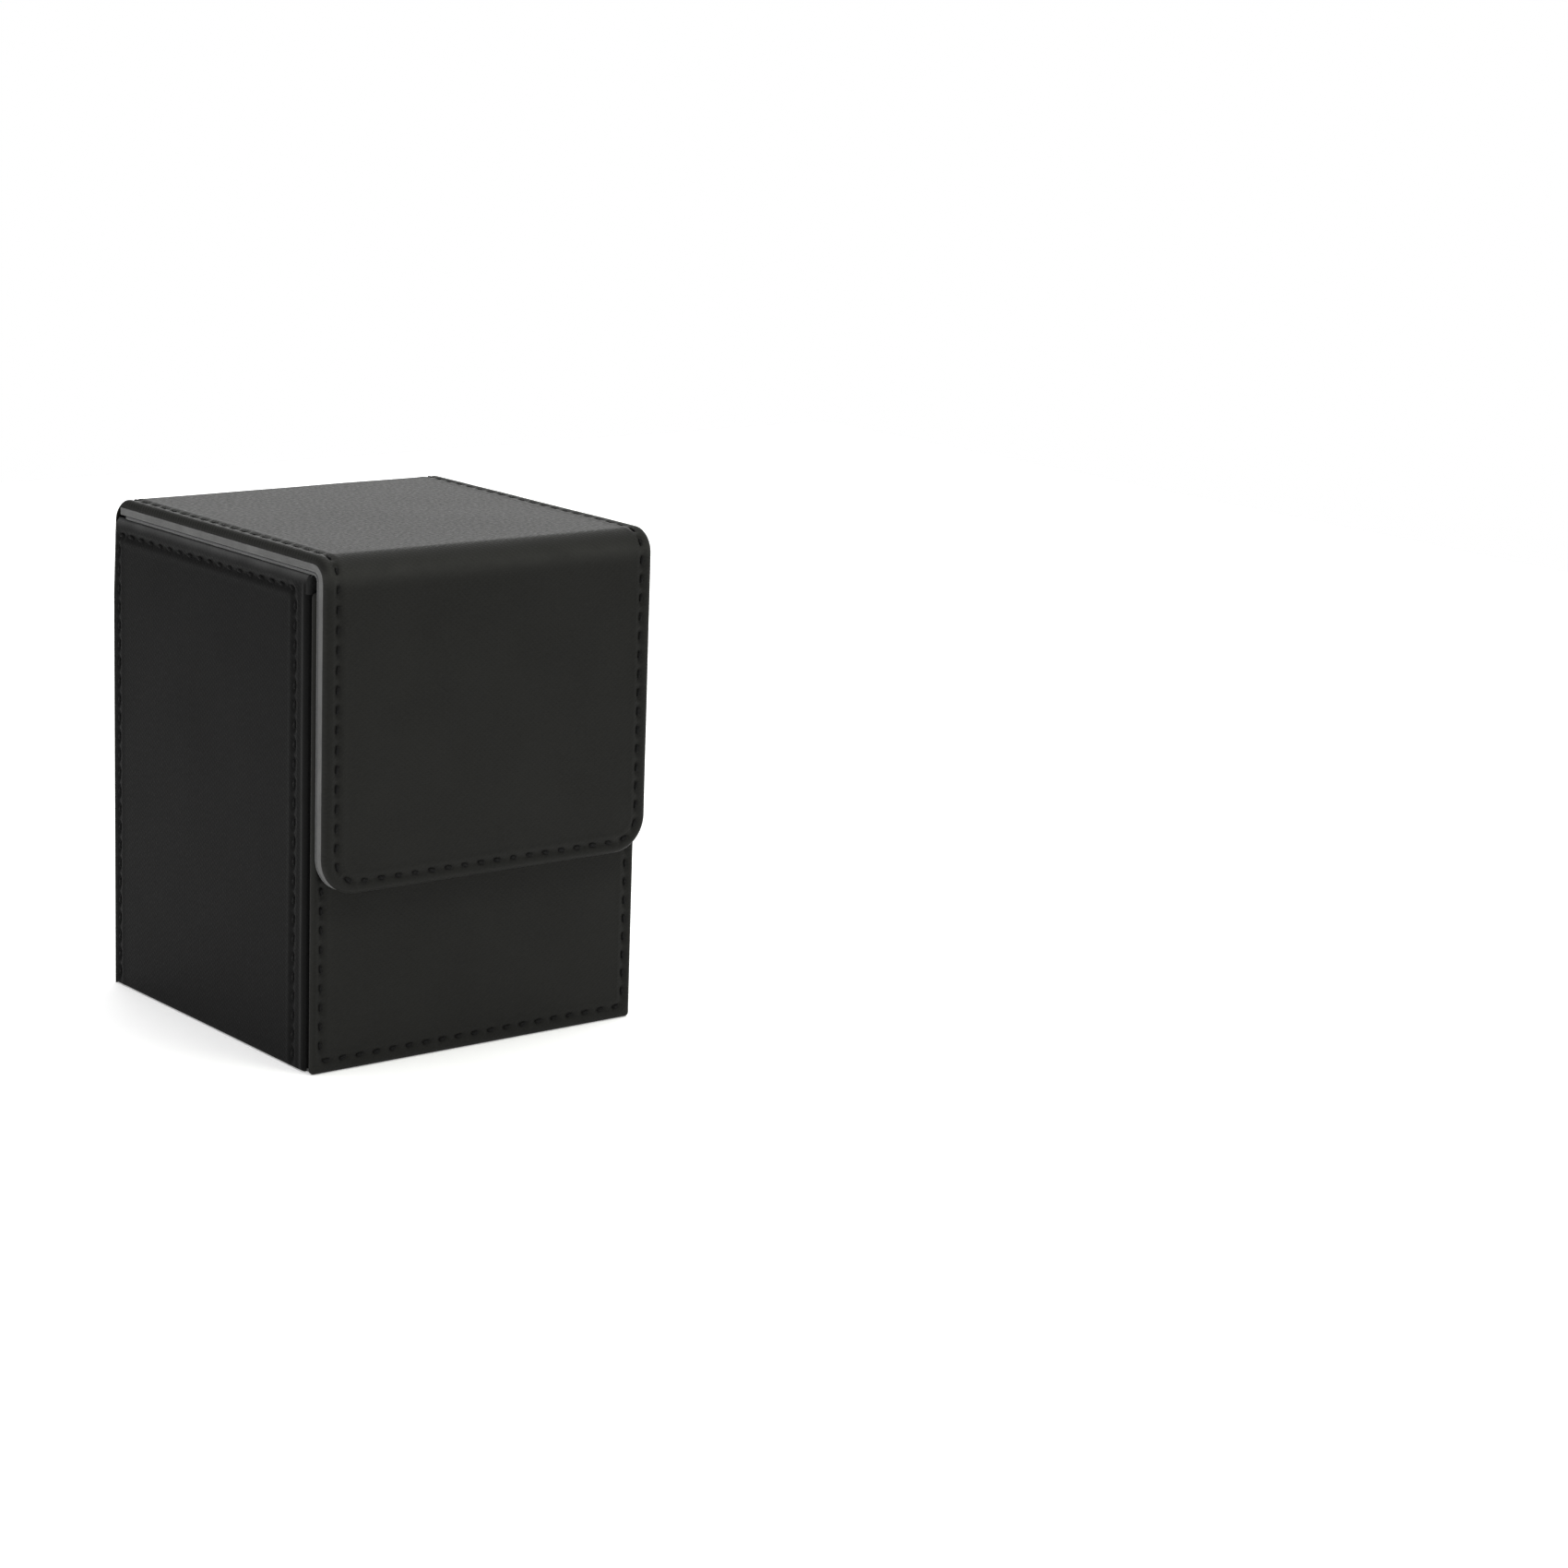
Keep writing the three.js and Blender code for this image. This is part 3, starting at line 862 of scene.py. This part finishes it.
def side_cover(word, sign, seed):
    """The leather of a side wall, and its thread."""
    seam = side_seam()
    plain = leather_sink(seam, side_border, seed)

    def sink(a, along):
        fade = 1.0 if along < SHOULDER_END else 0.0
        return min(plain(a, along) * fade, side_inner(a, along) - LEAST_LEATHER)

    columns = [-distance for distance in GROOVE_AT[:0:-1]] + bordered(0, SIDE_RUN)
    rows = bordered(0, SHOULDER_AT, fine_high=0.5 * MM, middle=ALONG_SEAM) + RIM_AT[2:-1]
    rows += even(LIP_AT + LIP_RADIUS * math.pi / 2, SIDE_END, 1.5 * MM)[1:]
    piece = sheet(
        f"{word}_leather",
        columns,
        rows,
        side_point(sign),
        lambda along: 1.0,
        sink,
        side_inner,
        LEATHER_SHADED_COOL,
        side_wear_and_sheen,
    )
    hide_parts(f"{word}_cover")
    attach(piece, "tub")

    thread = stitches(f"{word}_stitches", seam, side_point(sign), THREAD)
    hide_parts(f"{word}_seam")
    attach(thread, "tub")


def rim_end(word, sign):
    """The leather folded over the front end of a side wall, where it stands above the front wall."""
    bm = start_mesh()
    flat = {}
    radius = 0.5 * MM
    low = FRONT_TOP - 0.5 * MM
    outline = [(HALF, low)] + [(x, z) for x, z, _, _ in RIM_SECTION[1:-1]] + [(INSIDE, low)]
    middle_x = (HALF + INSIDE) / 2
    rings = []
    for share in even(0, 1, 0.2):
        inset = radius * (1 - math.sin(share * math.pi / 2))
        y = FRONT_BACK + 0.02 * MM + radius * (1 - math.cos(share * math.pi / 2))
        ring = []
        for x, z in outline:
            pull_x = inset if x < middle_x else -inset
            vert = bm.verts.new((sign * (x + pull_x), y, z - inset * (z > low)))
            flat[vert] = (x, z + y)
            ring.append(vert)
        rings.append(ring)
    last = []
    for x, z in outline:
        vert = bm.verts.new((sign * x, SIDE_FRONT + 0.2 * MM, z))
        flat[vert] = (x, z + SIDE_FRONT)
        last.append(vert)
    rings.append(last)
    count = len(outline)
    for ring, after in zip(rings, rings[1:]):
        for k in range(count):
            bm.faces.new((ring[k], ring[(k + 1) % count], after[(k + 1) % count], after[k]))
    bm.faces.new(rings[0][::-1])
    bm.faces.new(rings[-1])
    # Every point counts as 1 mm from an edge, so the whole piece is painted a little lighter, like the painted
    # sheen on the rim beside it.
    piece = make_object(f"{word}_rim_end", bm, LEATHER_SHADED_COOL, flat, lambda a, b: 1 * MM)
    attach(piece, "tub")


for word, sign, seed in (("left", -1, 11.5), ("right", 1, 14.5)):
    side_cover(word, sign, seed)
    rim_end(word, sign)


# ---------------------------------------------------------------- front wall
# The leather is a tray over the front board. Rings run round it from its back rim, over the edge and
# inwards, and a grid fills the middle.
TRAY_RADIUS = 0.9 * MM
TRAY_CORNER = 0.9 * MM
HEM = FRONT_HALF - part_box("front_board")[1].x - LEATHER - GLUE
HEM_BACK = 1.1 * MM


def tray_section():
    """The tray's section from the back rim, under the hem and round it to the middle of the face.

    Each entry is an inset from the sides, an inset from the top and bottom and a depth, first of the
    outer face and then of the inner one.
    """
    section = []
    for back in (FRONT_BACK - FRONT_FACE, HEM_BACK + 0.3 * MM, HEM_BACK):
        section.append(((HEM, 0, back), (HEM + LEATHER, LEATHER, back)))
    section.append(((HEM / 2, 0, HEM_BACK - 0.02 * MM), (HEM + LEATHER, LEATHER, HEM_BACK - 0.05 * MM)))
    for angle in even(-math.pi / 8, math.pi / 2, math.pi / 16):
        inset = TRAY_RADIUS * (1 - math.cos(angle))
        back = TRAY_RADIUS * (1 - math.sin(angle))
        inner = LEATHER + 0.1 * inset
        section.append(((inset, inset, min(back, HEM_BACK - 0.04 * MM)), (HEM + inner, inner, LEATHER)))
    for inset in even(TRAY_RADIUS, FINE_BORDER, FINE)[1:]:
        inner = max(inset, HEM + LEATHER + 0.1 * inset)
        section.append(((inset, inset, 0), (inner, inset, LEATHER)))
    return section


def tray_wear_and_sheen(x, z):
    """Nearness to the tray's edges, which are painted a little lighter, part wear and part painted highlight."""
    return max(0.0, min(FRONT_HALF - abs(x), z, FRONT_TOP - z)) + LESS_WEAR_AND_SHEEN


def front_seam():
    """Stitches down one side of the front wall, along its bottom and up the other side."""
    low, high = seam_box("front_seam")
    x = high.x
    points = [(x, high.z)]
    points += arc((x - SEAM_CORNER, low.z + SEAM_CORNER), SEAM_CORNER, 0, -90, 4)
    points += arc((SEAM_CORNER - x, low.z + SEAM_CORNER), SEAM_CORNER, 270, 180, 4)
    return Seam(points + [(-x, high.z)])


def front_tray():
    """The leather of the front wall, and its thread."""
    seam = front_seam()
    # Its rings round the edges already, so for its sink every edge is far away.
    plain = leather_sink(seam, lambda x, z: 1, 21.5)
    inner_half = FRONT_HALF - FINE_BORDER
    across = [x / inner_half for x in even(-inner_half, inner_half, ALONG_SEAM)]
    inner_high = FRONT_TOP / 2 - FINE_BORDER
    upright = [z / inner_high for z in even(-inner_high, inner_high, ALONG_SEAM)]
    bm = start_mesh()
    flat = {}

    def vertex(x, z, y):
        vert = bm.verts.new((x, y, z))
        flat[vert] = (x + math.copysign(y - FRONT_FACE, x), z)
        return vert

    def ring(aside, below, back, outer):
        """One ring of points round the tray, anticlockwise from its lower left corner."""
        half, high = FRONT_HALF - aside, FRONT_TOP / 2 - below
        radius = max(0.0, TRAY_CORNER - min(aside, below))
        run_x, run_z = half - radius, high - radius
        points = [(share * run_x, -high) for share in across]
        points += arc((run_x, -run_z), radius, -90, 0, 4)[1:-1]
        points += [(half, share * run_z) for share in upright]
        points += arc((run_x, run_z), radius, 0, 90, 4)[1:-1]
        points += [(-share * run_x, high) for share in across]
        points += arc((-run_x, run_z), radius, 90, 180, 4)[1:-1]
        points += [(-half, -share * run_z) for share in upright]
        points += arc((-run_x, -run_z), radius, 180, 270, 4)[1:-1]
        verts = []
        for x, up in points:
            z = up + FRONT_TOP / 2
            drop = plain(x, z) if outer and back < 0.02 * MM else 0
            verts.append(vertex(x, z, FRONT_FACE + back + drop))
        return verts

    def side(under):
        rings = [ring(*entry[1 if under else 0], not under) for entry in tray_section()]
        for here, after in zip(rings, rings[1:]):
            for k in range(len(here)):
                nxt = (k + 1) % len(here)
                bm.faces.new((here[k], here[nxt], after[nxt], after[k]))
        grid = []
        for up in upright:
            line = []
            for share in across:
                x, z = share * inner_half, up * inner_high + FRONT_TOP / 2
                drop = plain(x, z) if under == 0 else 0
                line.append(vertex(x, z, FRONT_FACE + under + drop))
            grid.append(line)
        for i in range(len(upright) - 1):
            for j in range(len(across) - 1):
                bm.faces.new((grid[i][j], grid[i][j + 1], grid[i + 1][j + 1], grid[i + 1][j]))
        return rings[0]

    outer, inner = side(0), side(LEATHER)
    for k in range(len(outer)):
        nxt = (k + 1) % len(outer)
        bm.faces.new((outer[k], outer[nxt], inner[nxt], inner[k]))
    piece = make_object("front_leather", bm, LEATHER_LIT_WARM, flat, tray_wear_and_sheen)
    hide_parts("front_cover")
    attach(piece, "tub")

    def on_front(x, z, under):
        return Vector((x, FRONT_FACE + under, z))

    thread = stitches("front_stitches", seam, on_front, THREAD)
    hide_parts("front_seam")
    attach(thread, "tub")


def front_facing():
    """The strip that covers the top of the front wall's inside."""
    inside = FRONT_HIGH.y
    radius = 0.45 * MM
    bend_end = radius * math.pi / 2
    flat_run = inside - radius - FRONT_BACK
    thickness = inside - FRONT_BACK - GLUE

    def place(x, along, under):
        if along <= flat_run:
            return Vector((x, FRONT_BACK + along, FRONT_TOP - under))
        if along <= flat_run + bend_end:
            angle = (along - flat_run) / radius
            reach = max(0.0, radius - under)
            y = inside - radius + reach * math.sin(angle)
            return Vector((x, y, FRONT_TOP - radius + reach * math.cos(angle)))
        return Vector((x, inside - under, FRONT_TOP - radius - (along - flat_run - bend_end)))

    rows = even(0, flat_run, 0.1 * MM) + even(flat_run, flat_run + bend_end, 0.1 * MM)[1:]
    rows += even(flat_run + bend_end, flat_run + bend_end + 9.5 * MM, 1 * MM)[1:]
    piece = sheet(
        "front_facing",
        even(-1, 1, 0.04),
        rows,
        place,
        lambda along: INSIDE_HALF,
        lambda a, b: 0.02 * MM,
        lambda a, b: thickness,
        LEATHER_LIT_WARM,
        lambda a, b: 2 * MM,
    )
    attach(piece, "tub")


front_tray()
front_facing()


# ---------------------------------------------------------------- base and linings
def panel(name, node, axis, faces_up, material, roll, seed):
    """A flat sheet in a node's box with soft edges. It faces along the axis, up it or down it."""
    low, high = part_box(node)
    others = [i for i in range(3) if i != axis]
    half = [(high[i] - low[i]) / 2 for i in others]
    thick = high[axis] - low[axis]

    def place(a, b, under):
        point = Vector((0, 0, 0))
        point[others[0]] = (low[others[0]] + high[others[0]]) / 2 + a
        point[others[1]] = (low[others[1]] + high[others[1]]) / 2 + b
        point[axis] = high[axis] - under if faces_up else low[axis] + under
        return point

    def edge(a, b):
        return max(0.0, min(half[0] - abs(a), half[1] - abs(b)))

    def sink(a, b):
        return rolled(edge(a, b), roll) + 0.5 * abs(waves(a, b, seed))

    run = [0, roll * 0.1, roll * 0.3, roll * 0.6, roll]
    lines = []
    for reach in half:
        low_side = [-reach + offset for offset in run]
        middle = even(-reach + roll, reach - roll, 2.5 * MM)
        lines.append(low_side[:-1] + middle[:-1] + [-x for x in low_side[::-1]])
    shares = [a / half[0] for a in lines[0]]
    piece = sheet(
        name, shares, lines[1], place, lambda b: half[0], sink, lambda a, b: thick, material, edge
    )
    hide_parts(node)
    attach(piece, "tub")


panel("base_leather", "base_cover", 2, False, LEATHER_SHADED_COOL, 0.6 * MM, 31.5)
for node, axis, faces_up in (
    ("floor_lining", 2, True),
    ("left_lining", 0, True),
    ("right_lining", 0, False),
    ("front_lining", 1, True),
    ("rear_lining", 1, False),
):
    panel(f"{node}_cloth", node, axis, faces_up, LINING, 0.3 * MM, 40.5)


# ---------------------------------------------------------------- pieces kept from the frame
def refinish(node, material):
    """Gives a node of the frame, which shows as it is, its material."""
    kept = frame["nodes"][node]
    if not kept.material_slots:
        kept.data.materials.append(material)
    for held in kept.material_slots:
        held.material = material


for node in ("left_board", "right_board", "front_board", "rear_board", "floor_board"):
    refinish(node, CARDBOARD)
for node in ("lid_board", "flap_board"):
    refinish(node, CORE)
for wall in ("front", "flap"):
    for word in ("left", "right"):
        refinish(f"{wall}_magnet_{word}", NICKEL)


# ---------------------------------------------------------------- floor, light and camera
def floor():
    """A square of pale paper, which glows a little so that it looks as white as in the photo."""
    bm = bmesh.new()
    bmesh.ops.create_grid(bm, x_segments=1, y_segments=1, size=0.65)
    mesh = bpy.data.meshes.new("floor")
    bm.to_mesh(mesh)
    bm.free()
    finish = Finish("pale_floor")
    finish.shader.inputs["Base Color"].default_value = grey(0.93)
    finish.shader.inputs["Emission Color"].default_value = grey(1)
    finish.shader.inputs["Emission Strength"].default_value = 0.3
    finish.shader.inputs["Roughness"].default_value = 0.9
    finish.shader.inputs["Specular IOR Level"].default_value = 0.1
    mesh.materials.append(finish.material)
    made = bpy.data.objects.new("floor", mesh)
    bpy.context.scene.collection.objects.link(made)


def softbox(name, position, target, size, power, colour=(1, 1, 1)):
    """An area light that faces its target and isn't seen by the camera."""
    light = bpy.data.lights.new(name, "AREA")
    light.shape = "RECTANGLE"
    light.size, light.size_y = size
    light.energy = power
    light.color = colour
    made = bpy.data.objects.new(name, light)
    made.location = position
    made.rotation_mode = "QUATERNION"
    made.rotation_quaternion = (Vector(target) - Vector(position)).to_track_quat("-Z", "Y")
    made.visible_camera = False
    bpy.context.scene.collection.objects.link(made)


def world(seen, given):
    """A white surround, dimmer for the light it gives than it looks."""
    made = bpy.data.worlds.new("studio")
    made.use_nodes = True
    nodes, links = made.node_tree.nodes, made.node_tree.links
    path = nodes.new("ShaderNodeLightPath")
    strength = nodes.new("ShaderNodeMix")
    strength.inputs[2].default_value = given
    strength.inputs[3].default_value = seen
    links.new(path.outputs["Is Camera Ray"], strength.inputs[0])
    links.new(strength.outputs[0], nodes["Background"].inputs["Strength"])
    nodes["Background"].inputs["Color"].default_value = (1, 1, 1, 1)
    bpy.context.scene.world = made


def camera():
    """The photo's camera, from its angles in degrees and its lens."""
    turn, tilt, roll = (math.radians(angle) for angle in (-39.0, 13.18, 2.06))
    back = Vector((math.sin(turn) * math.cos(tilt), -math.cos(turn) * math.cos(tilt), math.sin(tilt)))
    level = Vector((math.cos(turn), math.sin(turn), 0))
    up = back.cross(level)
    right = math.cos(roll) * level + math.sin(roll) * up
    above = math.cos(roll) * up - math.sin(roll) * level
    data = bpy.data.cameras.new("camera")
    data.lens = 88.75
    data.clip_start = 0.01
    made = bpy.data.objects.new("camera", data)
    made.location = 0.0856 * right + 0.0455 * above + 0.8106 * back
    made.rotation_mode = "QUATERNION"
    made.rotation_quaternion = Matrix((right, above, back)).transposed().to_quaternion()
    bpy.context.scene.collection.objects.link(made)
    bpy.context.scene.camera = made


floor()
world(1.0, 0.4)
softbox("overhead", (0.2, 0.2, 1.6), (0, 0, 0), (2.4, 2.4), 36)
softbox("behind", (1.0, 1.2, 0.5), (0, 0, 0.1), (1.4, 0.9), 7.8)
softbox("right", (1.3, 0.4, 0.2), (0, 0, 0.06), (0.8, 0.7), 6)
softbox("front", (0.35, -0.7, 1.2), (0, 0, 0.05), (0.4, 0.4), 4, (0.96, 1, 0.85))
camera()
bpy.context.scene.view_settings.view_transform = "Standard"
